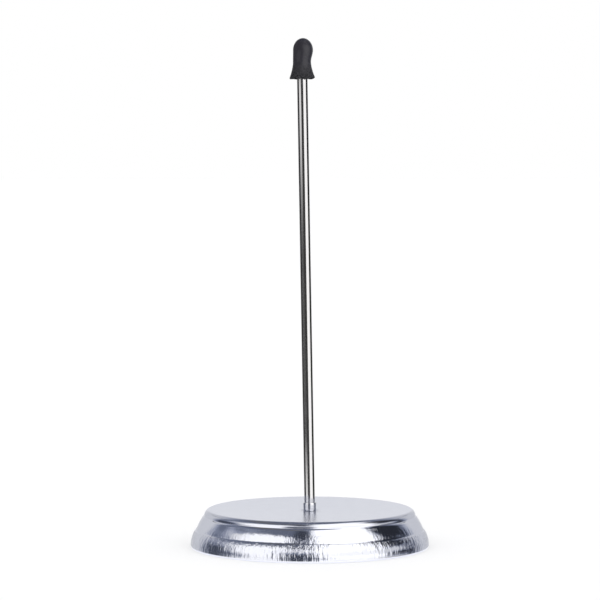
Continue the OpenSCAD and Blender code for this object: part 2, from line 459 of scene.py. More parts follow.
def arc_points(centre, radius, start, end, step=math.radians(6), chord=0.0004):
    """Points round an arc, close enough for both the turn and the length of each step."""
    sweep = end - start
    steps = max(math.ceil(abs(sweep) / step), math.ceil(abs(sweep * radius) / chord))
    angles = [start + sweep * i / steps for i in range(steps + 1)]
    return [(centre[0] + radius * math.cos(a), centre[1] + radius * math.sin(a)) for a in angles]


def line_points(start, end, steps=1, support=0.0):
    """Points along a line, with a supporting point that far from each end."""
    run = math.dist(start, end)
    shares = [i / steps for i in range(steps + 1)]
    if support:
        shares = sorted(shares + [support / run, 1 - support / run])
    return [(start[0] + (end[0] - start[0]) * s, start[1] + (end[1] - start[1]) * s) for s in shares]


def marked(points, **marks):
    """Outline points with their marks. A pair of numbers goes evenly from the first point to the last."""
    last = max(len(points) - 1, 1)
    outline = []
    for i, (radius, height) in enumerate(points):
        values = {}
        for name, value in marks.items():
            start, end = value if isinstance(value, tuple) else (value, value)
            values[name] = start + (end - start) * i / last
        outline.append((radius, height, values))
    return outline


def ring_outline(inner_r, outer_r, foot, height, edge_r):
    """A closed ring section with rounded edges."""
    corners = ((outer_r - edge_r, foot + edge_r, -90), (outer_r - edge_r, foot + height - edge_r, 0),
               (inner_r + edge_r, foot + height - edge_r, 90), (inner_r + edge_r, foot + edge_r, 180))
    points = []
    for radius, level, start in corners:
        turn = math.radians(start)
        points += arc_points((radius, level), edge_r, turn, turn + math.pi / 2, step=math.radians(15))
    return marked(points + points[:1])


def even_steps(start, end, steps):
    """Values from just past the start up to the end, in even steps."""
    return [start + (end - start) * i / steps for i in range(1, steps + 1)]


# Pieces


def add_object(context, name, data):
    """A new object in the scene."""
    thing = bpy.data.objects.new(name, data)
    context.scene.collection.objects.link(thing)
    return thing


def set_inputs(modifier, inputs):
    """Sets a modifier's inputs by their sockets' identifiers."""
    for item in modifier.node_group.interface.items_tree:
        if item.in_out == "INPUT" and item.name in inputs:
            modifier[item.identifier] = inputs[item.name]


def recalculated(mesh, close_ends=False):
    """Merges doubles, closes open ends if asked and turns every face outwards."""
    edit = bmesh.new()
    edit.from_mesh(mesh)
    bmesh.ops.remove_doubles(edit, verts=edit.verts, dist=MERGE_DISTANCE)
    if close_ends:
        open_edges = [edge for edge in edit.edges if edge.is_boundary]
        bmesh.ops.holes_fill(edit, edges=open_edges, sides=0)
    bmesh.ops.recalc_face_normals(edit, faces=edit.faces)
    edit.to_mesh(mesh)
    edit.free()


def turn_piece(context, name, outline, material, segments, steps=(), close_ends=False, lean=True, **turning):
    """Turns an outline through Geometry Nodes, and through any further (tree, inputs), into a plain mesh."""
    mesh = bpy.data.meshes.new(name + "_outline")
    edges = [(i, i + 1) for i in range(len(outline) - 1)]
    mesh.from_pydata([(radius, 0, height) for radius, height, _ in outline], edges, [])
    for mark in SHAPE_MARKS + FINISH_MARKS:
        values = [marks.get(mark, 0.0) for _, _, marks in outline]
        mesh.attributes.new(mark, "FLOAT", "POINT").data.foreach_set("value", values)
    piece = add_object(context, name, mesh)
    inputs = {"Segments": segments, "Start": 0.0, "Sweep": FULL_TURN, "Slant": 0.0,
              "Thread pitch": 1.0, "Thread depth": 0.0, "Corner chamfer": 0.0}
    inputs.update({label.replace("_", " ").capitalize(): value for label, value in turning.items()})
    for tree, tree_inputs in ((turned_tree(), inputs), *steps):
        modifier = piece.modifiers.new(tree.name, "NODES")
        modifier.node_group = tree
        set_inputs(modifier, {**tree_inputs, "Material": material})
    evaluated = piece.evaluated_get(context.evaluated_depsgraph_get())
    piece.data = bpy.data.meshes.new_from_object(evaluated)
    piece.modifiers.clear()
    bpy.data.meshes.remove(mesh)
    piece.data.name = name
    recalculated(piece.data, close_ends)
    if lean:
        piece.data.transform(UPON_SEAT)
    return piece


def hand_over(piece, body, node):
    """Lets a finished piece ride on its body in place of its node."""
    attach(piece, body)
    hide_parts(node)


# Finishes


def empty_material(name):
    """A new material and its graph."""
    material = bpy.data.materials.new(name)
    material.use_nodes = True
    return material, Graph(material.node_tree)


def show(graph, shader):
    """Shows a shader on the surface."""
    graph.link(shader.outputs[0], graph.tree.nodes["Material Output"].inputs["Surface"])


def new_material(name, **constants):
    """A material with its constant values set on the shader's own sockets."""
    material, graph = empty_material(name)
    shader = graph.tree.nodes["Principled BSDF"]
    for label, value in constants.items():
        shader.inputs[label.replace("_", " ")].default_value = value
    return material, graph, shader


def wire(graph, shader, **outputs):
    """Wires results to the shader's sockets."""
    for label, output in outputs.items():
        graph.link(output, shader.inputs[label.replace("_", " ")])


def mark_of(graph, name):
    """A finish mark, read from the mesh."""
    return graph.add("ShaderNodeAttribute", attribute_name=name).outputs["Fac"]


def object_place(graph):
    """Object coordinates."""
    return graph.add("ShaderNodeTexCoord").outputs["Object"]


def streaks(graph, width, tall, **grain):
    """Noise drawn out upright, which runs round the axis without a seam."""
    place = object_place(graph)
    flat = graph.vector("MULTIPLY", place, (1, 1, 0))
    outward = graph.vector("NORMALIZE", flat)
    round_it = graph.scaled(outward, graph.math("DIVIDE", graph.size(flat), width))
    up = graph.vector("MULTIPLY", place, (0, 0, 1 / tall))
    return graph.noise(graph.vector("ADD", round_it, up), scale=1.0, **grain)


def clouds(graph, scale, **grain):
    """Noise that is alike every way."""
    return graph.noise(object_place(graph), scale, **grain)


def mix(graph, share_of, first, second):
    """Goes from the first number to the second."""
    return graph.add("ShaderNodeMix", {"Factor": share_of, "A": first, "B": second}).outputs["Result"]


def mix_colour(graph, share_of, first, second):
    """Goes from the first colour to the second."""
    node = graph.add("ShaderNodeMix", {"Factor": share_of}, data_type="RGBA")
    for socket, value in ((node.inputs["A"], first), (node.inputs["B"], second)):
        if isinstance(value, bpy.types.NodeSocket):
            graph.link(value, socket)
        else:
            socket.default_value = (*value, 1)
    return node.outputs["Result"]


def bump(graph, height, depth, under=None):
    """A bumped normal, whose height of 1 is that deep."""
    inputs = {"Height": height, "Strength": 1.0, "Distance": depth}
    if under is not None:
        inputs["Normal"] = under
    return graph.add("ShaderNodeBump", inputs).outputs[0]


def drawn_chrome(finish):
    """Plated sheet: a satin top, polished walls, upright drawing marks, and dull grey plating inside."""
    material, graph, shader = new_material("drawn chrome", Metallic=1.0, Specular_Tint=(0.86, 0.87, 0.90, 1))
    worked, satin, inside = (mark_of(graph, name) for name in FINISH_MARKS)
    broad = streaks(graph, width=0.0011, tall=0.008)
    fine = streaks(graph, width=0.00042, tall=0.005)
    cloud = clouds(graph, scale=260.0, detail=4.0)
    grain = clouds(graph, scale=5200.0)
    marks = graph.math("MULTIPLY_ADD", broad, 1.5, fine)
    marks = bump(graph, graph.product(marks, worked), depth=0.00009)
    dull = graph.math("MAXIMUM", satin, inside)
    normal = bump(graph, graph.product(grain, dull), depth=0.000004, under=marks)
    rough = mix(graph, satin, finish.chrome_rough, finish.satin_rough)
    rough = mix(graph, inside, rough, finish.inside_rough)
    rough = graph.math("MULTIPLY_ADD", graph.math("SUBTRACT", cloud, 0.5), 0.05, rough)
    plate = mix_colour(graph, satin, finish.chrome, finish.satin)
    plate = mix_colour(graph, inside, plate, finish.inside)
    tone = mix_colour(graph, graph.product(cloud, 0.12), plate, finish.chrome_cloud)
    wire(graph, shader, Base_Color=tone, Roughness=rough, Normal=normal)
    return material


def polished_steel(finish):
    """Polished bar with fine lines along it, and a ground point."""
    material, graph, shader = new_material("polished steel", Metallic=1.0, Specular_Tint=(0.9, 0.9, 0.9, 1))
    ground = mark_of(graph, "worked")
    lines = streaks(graph, width=0.00022, tall=0.03, detail=3.0, rough=0.6)
    wheel_place = graph.vector("MULTIPLY", object_place(graph), (600, 600, 9000))
    wheel = graph.noise(wheel_place, scale=1.0, detail=3.0)
    polish = bump(graph, lines, depth=0.0000012)
    normal = bump(graph, graph.product(wheel, ground), depth=0.000006, under=polish)
    cloud = clouds(graph, scale=180.0, detail=3.0)
    rough = graph.math("MULTIPLY_ADD", cloud, 0.06, finish.steel_rough - 0.03)
    rough = mix(graph, ground, rough, finish.point_rough)
    tone = mix_colour(graph, graph.product(lines, 0.2), finish.steel, finish.steel_line)
    wire(graph, shader, Base_Color=tone, Roughness=rough, Normal=normal)
    return material


def plated_ring(finish):
    """Bright plating on a small turned ring."""
    material, graph, shader = new_material("plated ring", Metallic=1.0)
    lines = streaks(graph, width=0.0004, tall=0.006)
    cloud = clouds(graph, scale=900.0, detail=3.0)
    rough = graph.math("MULTIPLY_ADD", cloud, 0.08, 0.14)
    tone = mix_colour(graph, graph.product(cloud, 0.2), finish.ring, finish.ring_cloud)
    wire(graph, shader, Base_Color=tone, Roughness=rough, Normal=bump(graph, lines, depth=0.00008))
    return material


def zinc_plate(finish):
    """Zinc plating with faint yellow and blue clouds, and turning lines."""
    material, graph, shader = new_material("zinc plate", Metallic=1.0)
    cloud = clouds(graph, scale=420.0, detail=4.0)
    grain = clouds(graph, scale=4000.0, detail=3.0)
    tone = mix_colour(graph, graph.ease(cloud, 0.35, 0.5), finish.zinc_blue, finish.zinc)
    tone = mix_colour(graph, graph.ease(cloud, 0.55, 0.75), tone, finish.zinc_yellow)
    rough = graph.math("MULTIPLY_ADD", grain, 0.2, 0.24)
    wire(graph, shader, Base_Color=tone, Roughness=rough, Normal=bump(graph, grain, depth=0.00001))
    return material


def oiled_steel(finish):
    """Dark spring steel with a film of oil."""
    material, graph, shader = new_material("oiled steel", Metallic=1.0, Coat_Weight=0.3, Coat_Roughness=0.2)
    cloud = clouds(graph, scale=700.0, detail=4.0)
    grain = clouds(graph, scale=5000.0)
    tone = mix_colour(graph, graph.ease(cloud, 0.4, 0.7), finish.spring, finish.spring_cloud)
    rough = graph.math("MULTIPLY_ADD", cloud, 0.3, 0.25)
    wire(graph, shader, Base_Color=tone, Roughness=rough, Normal=bump(graph, grain, depth=0.000012))
    return material


def moulded_rubber(finish):
    """Satin black rubber, smooth on the head and rough on the skirt, with faint upright drag lines that are
    also painted lighter as a painted sheen.
    """
    material, graph, shader = new_material("moulded rubber", Specular_IOR_Level=0.58)
    skirt, _, inside = (mark_of(graph, name) for name in FINISH_MARKS)
    coarse = graph.math("MAXIMUM", skirt, inside)
    drag = streaks(graph, width=0.0009, tall=0.012, detail=3.0)
    grain = clouds(graph, scale=3600.0, detail=3.0, rough=0.65)
    lumps = clouds(graph, scale=1900.0, detail=3.0, rough=0.6)
    skin = bump(graph, graph.math("MULTIPLY_ADD", drag, 0.8, grain), depth=0.000012)
    normal = bump(graph, graph.product(lumps, coarse), depth=0.0005, under=skin)
    rough = graph.math("MULTIPLY_ADD", drag, 0.14, finish.rubber_rough - 0.07)
    rough = mix(graph, coarse, rough, finish.skirt_rough)
    # Painted sheen: the drag lines are painted a little lighter, like faint upright highlights, on top of
    # their real bump
    painted_sheen = graph.product(graph.ease(drag, 0.45, 0.75), 0.35)
    tone = mix_colour(graph, painted_sheen, finish.rubber, finish.drag)
    tone = mix_colour(graph, coarse, tone, finish.skirt)
    worn = graph.product(coarse, graph.ease(lumps, 0.38, 0.62))
    tone = mix_colour(graph, worn, tone, finish.skirt_worn)
    wire(graph, shader, Base_Color=tone, Roughness=rough, Normal=normal)
    return material


# Operators


def polar(centre, reach, turn):
    """The point that far from a centre, at an angle above level."""
    return (centre[0] + reach * math.cos(turn), centre[1] + reach * math.sin(turn))


def sheet_face(sizes, inset, **grain):
    """One face of the drawn sheet, from the hole out and down to the rim, as named runs of points.

    It is worked up from the rim: each turn starts where the last one ends, on the same slope.
    """
    sin = math.sin
    rim_r = sizes.rim_inner_r + sizes.sheet_t
    rim_c = (sizes.diameter / 2 - rim_r, rim_r)
    band_r = (sizes.band_h - rim_r) / sin(sizes.band_slope)
    band_c = (sizes.diameter / 2 - band_r, rim_r)
    step_c = polar(band_c, band_r - sizes.step_r, sizes.band_slope)
    step_fillet_c = polar(step_c, sizes.step_r + sizes.step_fillet_r, sizes.step_slope)
    flank_head = sizes.flank_slope + sizes.flank_bow / 2
    flank_foot = sizes.flank_slope - sizes.flank_bow / 2
    flank_start = polar(step_fillet_c, -sizes.step_fillet_r, flank_foot)
    edge_reach = sizes.edge_r + sizes.fillet_r
    crown_reach = sizes.crown_r + sizes.fillet_r
    fillet_z = sizes.height - sizes.edge_r + edge_reach * sin(sizes.edge_draft)
    crown_z = fillet_z - crown_reach * sin(sizes.ledge_slope)
    flank_rise = crown_z + sizes.crown_r * sin(flank_head) - flank_start[1]
    flank_r = flank_rise / (sin(flank_head) - sin(flank_foot))
    flank_c = polar(flank_start, -flank_r, flank_foot)
    crown_c = polar(flank_c, flank_r - sizes.crown_r, flank_head)
    fillet_c = polar(crown_c, crown_reach, sizes.ledge_slope)
    edge_c = polar(fillet_c, -edge_reach, sizes.edge_draft)
    dish_slope = math.atan2(sizes.dish, edge_c[0] - sizes.seat_r)
    turns = {
        "edge": (edge_c, sizes.edge_r - inset, math.pi / 2 + dish_slope, sizes.edge_draft),
        "fillet": (fillet_c, -sizes.fillet_r - inset, sizes.edge_draft, sizes.ledge_slope),
        "crown": (crown_c, sizes.crown_r - inset, sizes.ledge_slope, flank_head),
        "flank": (flank_c, flank_r - inset, flank_head, flank_foot),
        "step_fillet": (step_fillet_c, -sizes.step_fillet_r - inset, flank_foot, sizes.step_slope),
        "step": (step_c, sizes.step_r - inset, sizes.step_slope, sizes.band_slope),
        "band": (band_c, band_r - inset, sizes.band_slope, 0),
        "rim": (rim_c, rim_r - inset, 0, -math.pi / 2),
    }
    face = {name: arc_points(*turn, **grain) for name, turn in turns.items()}
    face["top"] = dished_top(sizes, face["edge"][0], sizes.height - sizes.dish - inset)
    return face


def dished_top(sizes, edge, seat_z):
    """The top from its hole to its edge: a flat seat that bends softly into an even rise."""
    rise = (edge[1] - seat_z) / (edge[0] - sizes.seat_r)
    blend = sizes.seat_blend
    start = sizes.seat_r - blend
    bend = [start, *even_steps(start, sizes.seat_r + blend, steps=8)]
    points = [(sizes.hole_r, seat_z)]
    points += [(r, seat_z + rise * (r - start) ** 2 / (4 * blend)) for r in bend]
    return points + line_points(points[-1], edge, steps=6, support=0.0001)[1:-1]


class SPIKE_OT_base(bpy.types.Operator):
    """Makes the base: one drawn sheet with a dished top, two steps and a hem turned in under its rim."""

    bl_idname = "spike.base"
    bl_label = "Base"

    def execute(self, context):
        sizes, finish = context.scene.spike_base, context.scene.spike_finishes
        outer = sheet_face(sizes, 0.0)
        inner = sheet_face(sizes, sizes.sheet_t, step=math.radians(20), chord=0.002)
        hem_r = outer["rim"][-1][0] - sizes.hem_w
        half = sizes.sheet_t / 2
        hem_edge = arc_points((hem_r, half), -half, math.pi / 2, -math.pi / 2, step=math.radians(30))
        outline = marked(outer["top"], satin=1.0)
        outline += marked(outer["edge"], satin=(1.0, 0.2), worked=0.04)
        for name, worked in DRAWN_WALLS.items():
            outline += marked(outer[name][1:], worked=worked)
        outline += marked(line_points(outer["rim"][-1], hem_edge[0], steps=3)[1:-1], satin=0.5)
        outline += marked(hem_edge, inside=(0.0, 1.0))
        for name in reversed(("top", "edge", *DRAWN_WALLS)):
            outline += marked(inner[name][::-1], inside=1.0)
        outline += marked(outer["top"][:1])
        chrome = drawn_chrome(finish)
        drawing = {"Depth": sizes.mark_depth, "Width": sizes.mark_width,
                   "Height": sizes.mark_height, "Seed": sizes.mark_seed}
        piece = turn_piece(context, "drawn_base", outline, chrome, segments=720,
                           steps=((mark_tree(), drawing),), lean=False)
        hand_over(piece, "stand", "base_shell")
        return {"FINISHED"}


class SPIKE_OT_spindle(bpy.types.Operator):
    """Makes the spindle: a polished rod with a ground point and a threaded stud below."""

    bl_idname = "spike.spindle"
    bl_label = "Spindle"

    def execute(self, context):
        sizes, finish = context.scene.spike_spindle, context.scene.spike_finishes
        rod_r, stud_r, tip_r = sizes.rod_d / 2, sizes.stud_d / 2, sizes.point_d / 2
        seat, foot_r = COLLAR_FOOT, sizes.foot_r
        point_foot = sizes.rod_len - sizes.point_len
        thread_foot = sizes.stud_end + sizes.stud_chamfer
        run_out = seat - sizes.pitch
        thread_rows = math.ceil((run_out - thread_foot) / sizes.pitch * ROWS_PER_PITCH)
        outline = marked([(0.0, sizes.stud_end), (stud_r - sizes.stud_chamfer, sizes.stud_end)], worked=0.4)
        outline += marked(line_points((stud_r, thread_foot), (stud_r, run_out), thread_rows), thread=1.0)
        outline += marked([(stud_r, seat - foot_r), (stud_r, seat), (rod_r - foot_r, seat)])
        outline += marked(arc_points((rod_r - foot_r, seat + foot_r), foot_r, -math.pi / 2, 0))
        shank = line_points((rod_r, seat + foot_r), (rod_r, point_foot), steps=48, support=foot_r)
        outline += marked(shank[1:])
        tip = (tip_r, sizes.rod_len - tip_r)
        point = line_points((rod_r, point_foot), tip, steps=24, support=foot_r / 2)[1:]
        point += arc_points((0.0, sizes.rod_len - tip_r), tip_r, 0, math.pi / 2)[1:-1]
        outline += marked(point + [(0.0, sizes.rod_len)], worked=1.0)
        piece = turn_piece(context, "polished_spindle", outline, polished_steel(finish), segments=128,
                           thread_pitch=sizes.pitch, thread_depth=sizes.thread_depth)
        hand_over(piece, "stand", "spindle_rod")
        return {"FINISHED"}


class SPIKE_OT_ring(bpy.types.Operator):
    """Makes the plated ring round the foot of the rod."""

    bl_idname = "spike.ring"
    bl_label = "Foot ring"

    def execute(self, context):
        sizes = context.scene.spike_spindle
        outer_r = COLLAR_D / 2
        sunk = COLLAR_FOOT + outer_r * math.sin(LEAN) + sizes.edge_r
        inner_r = outer_r - sizes.collar_wall
        outline = ring_outline(inner_r, outer_r, COLLAR_FOOT - sunk, COLLAR_H + sunk, sizes.edge_r)
        plating = plated_ring(context.scene.spike_finishes)
        piece = turn_piece(context, "plated_foot_ring", outline, plating, segments=128)
        hand_over(piece, "stand", "foot_collar")
        return {"FINISHED"}


class SPIKE_OT_fasteners(bpy.types.Operator):
    """Makes the plain washer, the split spring washer and the nut that hold the spindle to the base."""

    bl_idname = "spike.fasteners"
    bl_label = "Washers and nut"

    def execute(self, context):
        sizes, spindle = context.scene.spike_fasteners, context.scene.spike_spindle
        finish = context.scene.spike_finishes
        zinc = zinc_plate(finish)
        bore_r = spindle.stud_d / 2 + sizes.washer_fit
        plain = ring_outline(bore_r, sizes.washer_d / 2, WASHER_FOOT, sizes.washer_t, sizes.edge_r)
        washer = turn_piece(context, "plain_washer", plain, zinc, segments=96)
        hand_over(washer, "stand", "clamp_washer")

        split = ring_outline(bore_r, sizes.spring_d / 2, SPRING_FOOT, sizes.spring_t, sizes.edge_r)
        middle_r = (bore_r + sizes.spring_d / 2) / 2
        gap = sizes.split_w / middle_r
        slant = -math.tan(sizes.split_slant) / middle_r
        start = gap / 2 - slant * (SPRING_FOOT + sizes.spring_t / 2)
        spring = turn_piece(context, "split_washer", split, oiled_steel(finish), segments=96, close_ends=True,
                            start=start, sweep=FULL_TURN - gap, slant=slant)
        hand_over(spring, "stand", "spring_washer")

        nut = turn_piece(context, "hexagon_nut", nut_outline(sizes, spindle), zinc, segments=96,
                         thread_pitch=spindle.pitch, thread_depth=spindle.thread_depth,
                         corner_chamfer=math.tan(sizes.nut_chamfer))
        hand_over(nut, "stand", "hex_nut")
        return {"FINISHED"}


def nut_outline(sizes, spindle):
    """A nut's section: a threaded bore with countersunk ends, flat faces and six chamfered flats."""
    flat_r = sizes.nut_w / 2
    bore_r = spindle.stud_d / 2 + sizes.thread_fit
    foot, head = NUT_FOOT, NUT_FOOT + sizes.nut_h
    sink = spindle.thread_depth
    rows = math.ceil((sizes.nut_h - 2 * sink) / spindle.pitch * ROWS_PER_PITCH)
    outline = marked(line_points((bore_r, head - sink), (bore_r, foot + sink), rows), thread=1.0)
    outline += marked([(bore_r + sink / 2, foot), (flat_r - sink, foot)])
    outline += marked([(flat_r, foot)], hexed=-1.0)
    outline += marked([(flat_r, head)], hexed=1.0)
    outline += marked([(flat_r - sink, head), (bore_r + sink / 2, head)])
    return outline + outline[:1]


class SPIKE_OT_cap(bpy.types.Operator):
    """Makes the rubber cap: a round head a little off the line, a waist, and a skirt with a wavy lip."""

    bl_idname = "spike.cap"
    bl_label = "Tip cap"

    def execute(self, context):
        sizes, spindle = context.scene.spike_cap, context.scene.spike_spindle
        rod_r = spindle.rod_d / 2
        bore_r = rod_r + sizes.fit
        waist_r = bore_r + sizes.wall
        bulb_r = waist_r + sizes.bulb_swell
        mouth_r = sizes.mouth_d / 2
        flare = mouth_r - waist_r
        foot = spindle.rod_len + sizes.top_t - sizes.height
        dome_up = sizes.height - sizes.dome_h
        lip_r = sizes.lip_t / 2

        def skin_r(up):
            if up < sizes.waist_up:
                return waist_r + flare * (1 - up / sizes.waist_up) ** sizes.flare_curve
            s = (up - sizes.waist_up) / (dome_up - sizes.waist_up)
            return waist_r + sizes.bulb_swell * s * s * (3 - 2 * s)

        def bell_r(up):
            opening = mouth_r - sizes.lip_t - bore_r
            return bore_r + opening * (1 - up / sizes.bell_depth) ** sizes.flare_curve

        point_foot = spindle.rod_len - spindle.point_len + sizes.tip_gap
        bore_top = spindle.rod_len + sizes.tip_gap
        outline = marked([(0.0, bore_top), (spindle.point_d / 2 + sizes.fit, bore_top)], inside=1.0)
        bore = line_points((bore_r, point_foot), (bore_r, foot + sizes.bell_depth), steps=6)
        outline += marked(bore, inside=1.0)
        bell = even_steps(sizes.bell_depth, 0.0, steps=10)
        outline += marked([(bell_r(up), foot + up) for up in bell if up > lip_r], inside=1.0, worked=1.0)
        lip_c = (skin_r(lip_r) - lip_r, foot + lip_r)
        outline += marked(arc_points(lip_c, -lip_r, 0, math.pi, step=math.radians(12)),
                          inside=(1.0, 0.0), worked=1.0)
        skirt = even_steps(lip_r, sizes.waist_up, steps=32)
        outline += marked([(skin_r(up), foot + up) for up in skirt], worked=(1.0, 0.0))
        neck = even_steps(sizes.waist_up, dome_up, steps=24)
        outline += marked([(skin_r(up), foot + up) for up in neck])
        dome = arc_points((0.0, 0.0), 1.0, 0, math.pi / 2, step=math.radians(3), chord=1.0)
        outline += marked([(bulb_r * x, foot + dome_up + sizes.dome_h * y) for x, y in dome[1:-1]])
        outline += marked([(0.0, foot + sizes.height)])
        soft = {"Bend": sizes.bend, "Bend foot": foot + sizes.waist_up, "Bend head": foot + dome_up,
                "Lip wave": sizes.lip_wave, "Lip": foot, "Lip reach": sizes.waist_up / 2}
        piece = turn_piece(context, "rubber_cap", outline, moulded_rubber(context.scene.spike_finishes),
                           segments=128, steps=((soft_tree(), soft),))
        hand_over(piece, "cap", "tip_cap")
        return {"FINISHED"}


# Studio


# Elevations past straight down and straight up
DOWN, UP = -120, 120
# What the metal sees round it, the later ones in front. Each has its azimuths from the camera's side and the
# softness of its two sides, its lower and upper elevation and their softness, all in degrees, the azimuth
# that it squarely faces if it is a flat panel, and its brightness, where 1 is the white background.
PANELS = {
    "left backdrop": ((-168, -120), (8, 5), (DOWN, 40), 10, None, 0.78),
    "right backdrop": ((120, 168), (5, 8), (DOWN, 40), 10, None, 0.76),
    "left back card": ((-190, -172), (1, 4), (DOWN, 40), 10, None, 1.08),
    "right back card": ((172, 190), (4, 1), (DOWN, 40), 10, None, 1.08),
    "dark ceiling": ((-220, 220), (5, 5), (38, UP), 13, None, 0.18),
    "left softbox": ((-103, 8), (6, 6), (DOWN, 47), 2, -38, 1.32),
    "left flag": ((-125, -84), (10, 12), (DOWN, 27), 16, None, 0.07),
    "left floor flag": ((-115, -64), (8, 9), (DOWN, 6), 8, None, 0.10),
    "right overhead": ((28, 119), (14, 14), (47, 73), 3, None, 1.4),
    "right softbox": ((2, 79), (7, 5), (DOWN, 75), 4, 45, 1.5),
    "right softbox middle": ((20, 66), (8, 8), (7, 24), 4, None, 1.28),
    "camera": ((-28, 5), (5, 6), (DOWN, 28), 14, None, 0.07),
    "right flag": ((82, 126), (4, 10), (DOWN, 57), 5, 117, 0.03),
    "right low card": ((70, 107), (5, 9), (6, 19), 4, None, 0.78),
    "left upper flag": ((-107, -82), (7, 9), (34, 46), 5, None, 0.27),
    "left far flag": ((-125, -107), (6, 7), (22, 46), 5, None, 0.20),
    "above camera": ((-21, 0), (5, 5), (36, 60), 4, None, 0.06),
    "below camera": ((-30, 16), (4, 6), (DOWN, 3), 4, None, 0.08),
}
# The lamps' azimuths from the camera's side and their elevations, in degrees
LAMPS = {"right_lamp": (45, 45), "left_lamp": (-50, 50)}
# What a dark panel's light is tinted with, and the levels between which the tint goes
DARK_TINT = (0.82, 0.93, 1.25)
TINT_LEVELS = (0.1, 0.9)
# Cards that stand round the object for the rod, the cap or its head to mirror: the kind of card, its azimuths
# in degrees, its brightness, and its brightness towards the head and the foot of the rod
CARDS = {
    "front card": ("rod front", (-33.7, 15.2), 0.05, 0.05),
    "left grey card": ("rod front", (-78.0, -33.7), 0.11, 0.95),
    "left dark card": ("rod side", (-137.0, -80.2), 0.04, 0.04),
    "right white card": ("rod front", (18.5, 75.2), 1.3, 1.3),
    "right dark card": ("rod side", (76.2, 115.0), 0.02, 0.02),
    "right far card": ("rod side", (115.0, 137.0), 0.02, 0.02),
    "cap front card": ("cap", (-50.0, -9.5), 0.17, 0.17),
    "cap left card": ("cap", (-105.0, -50.0), 0.17, 0.17),
    "cap far card": ("cap", (-155.0, -105.0), 0.17, 0.17),
    "cap head card": ("head", (-9.5, 88.0), 0.18, 0.18),
}
CARD_DISTANCE = 0.1
# Each kind of card: its lower and upper ends above the seat, and the lengths of rays, in shares of the cards'
# distance, over which it comes and goes, so that only the rod and the cap in the middle mirror it
CARD_KINDS = {
    "rod front": ((-0.009, 0.1424), (0.979, 0.981), (0.9915, 0.9895)),
    "rod side": ((-0.009, 0.1424), (0.983, 0.985), (1.0005, 0.998)),
    "cap": ((0.1424, 0.35), (0.93, 0.95), (2.6, 2.2)),
    "head": ((0.225, 0.35), (1.15, 1.25), (2.2, 2.1)),
}
# Heights between which a card goes to its brightness at the head and at the foot
LIT_HEAD = (0.078, 0.139)
LIT_FOOT = (0.017, -0.009)


def card_material(studio, name, come, go, middle, ends):
    """A card that glows, brighter or darker towards its ends, for what stands in the middle of the cards."""
    material, graph = empty_material(name)
    level = graph.split(object_place(graph))["Z"]
    near_end = graph.math("MAXIMUM", graph.ease(level, *LIT_HEAD), graph.ease(level, *LIT_FOOT))
    glow = graph.add("ShaderNodeEmission", {"Strength": mix(graph, near_end, middle, ends)})
    path = graph.add("ShaderNodeLightPath").outputs
    # Rays that slope down to the rod slope on beyond it, which makes them a little longer
    rise = graph.math("ADD", level, SEAT - studio.camera_height)
    slope = graph.math("DIVIDE", rise, studio.camera_distance + CARD_DISTANCE)
    stretch = graph.math("SQRT", graph.math("MULTIPLY_ADD", slope, slope, 1.0))
    run = graph.math("DIVIDE", graph.math("DIVIDE", path["Ray Length"], CARD_DISTANCE), stretch)
    first = graph.math("LESS_THAN", path["Glossy Depth"], 1.5)
    seen = graph.product(graph.ease(run, *come), graph.ease(run, *go), first)
    clear = graph.add("ShaderNodeBsdfTransparent")
    show(graph, graph.add("ShaderNodeMixShader", {0: seen, 1: clear.outputs[0], 2: glow.outputs[0]}))
    return material


def make_card(context, studio, name, kind, azimuths, middle, ends):
    """An upright card bent round the spindle's line, which only reflections show."""
    steps = 24
    heights, come, go = CARD_KINDS[kind]
    start, end = (math.radians(a) for a in azimuths)
    turns = [start, *even_steps(start, end, steps)]
    feet = [(CARD_DISTANCE * math.sin(t), -CARD_DISTANCE * math.cos(t)) for t in turns]
    corners = [(x, y, height) for x, y in feet for height in heights]
    faces = [(2 * i, 2 * i + 2, 2 * i + 3, 2 * i + 1) for i in range(steps)]
    mesh = bpy.data.meshes.new(name)
    mesh.from_pydata(corners, [], faces)
    mesh.materials.append(card_material(studio, name, come, go, middle, ends))
    card = add_object(context, name, mesh)
    card.matrix_world = UPON_SEAT
    for rays in ("camera", "diffuse", "transmission", "shadow"):
        setattr(card, "visible_" + rays, False)


def between(graph, value, span, soft):
    """1 inside a span, falling to 0 over a soft border at each end."""
    rise = graph.ease(value, span[0] - soft[0], span[0] + soft[0])
    fall = graph.ease(value, span[1] - soft[1], span[1] + soft[1], 1.0, 0.0)
    return graph.product(rise, fall)


def panel_level(graph, way):
    """How bright the studio is in a direction, with its panels on the white background."""
    x, y, z = graph.split(way)
    azimuth = graph.math("DEGREES", graph.math("ARCTAN2", x, graph.product(y, -1.0)))
    round_rise = graph.math("DEGREES", graph.math("ARCSINE", z))
    level = 1.0
    for azimuths, sides, elevations, soft, facing, brightness in PANELS.values():
        rise = round_rise
        if facing is not None:
            toward = (math.sin(math.radians(facing)), -math.cos(math.radians(facing)), 0)
            along = graph.add("ShaderNodeVectorMath", {0: way, 1: toward}, operation="DOT_PRODUCT")
            ahead = graph.math("MAXIMUM", along.outputs["Value"], 0.001)
            rise = graph.math("DEGREES", graph.math("ARCTAN2", z, ahead))
        cover = graph.product(between(graph, azimuth, azimuths, sides),
                              between(graph, rise, elevations, (soft, soft)))
        level = mix(graph, cover, level, brightness)
    return level


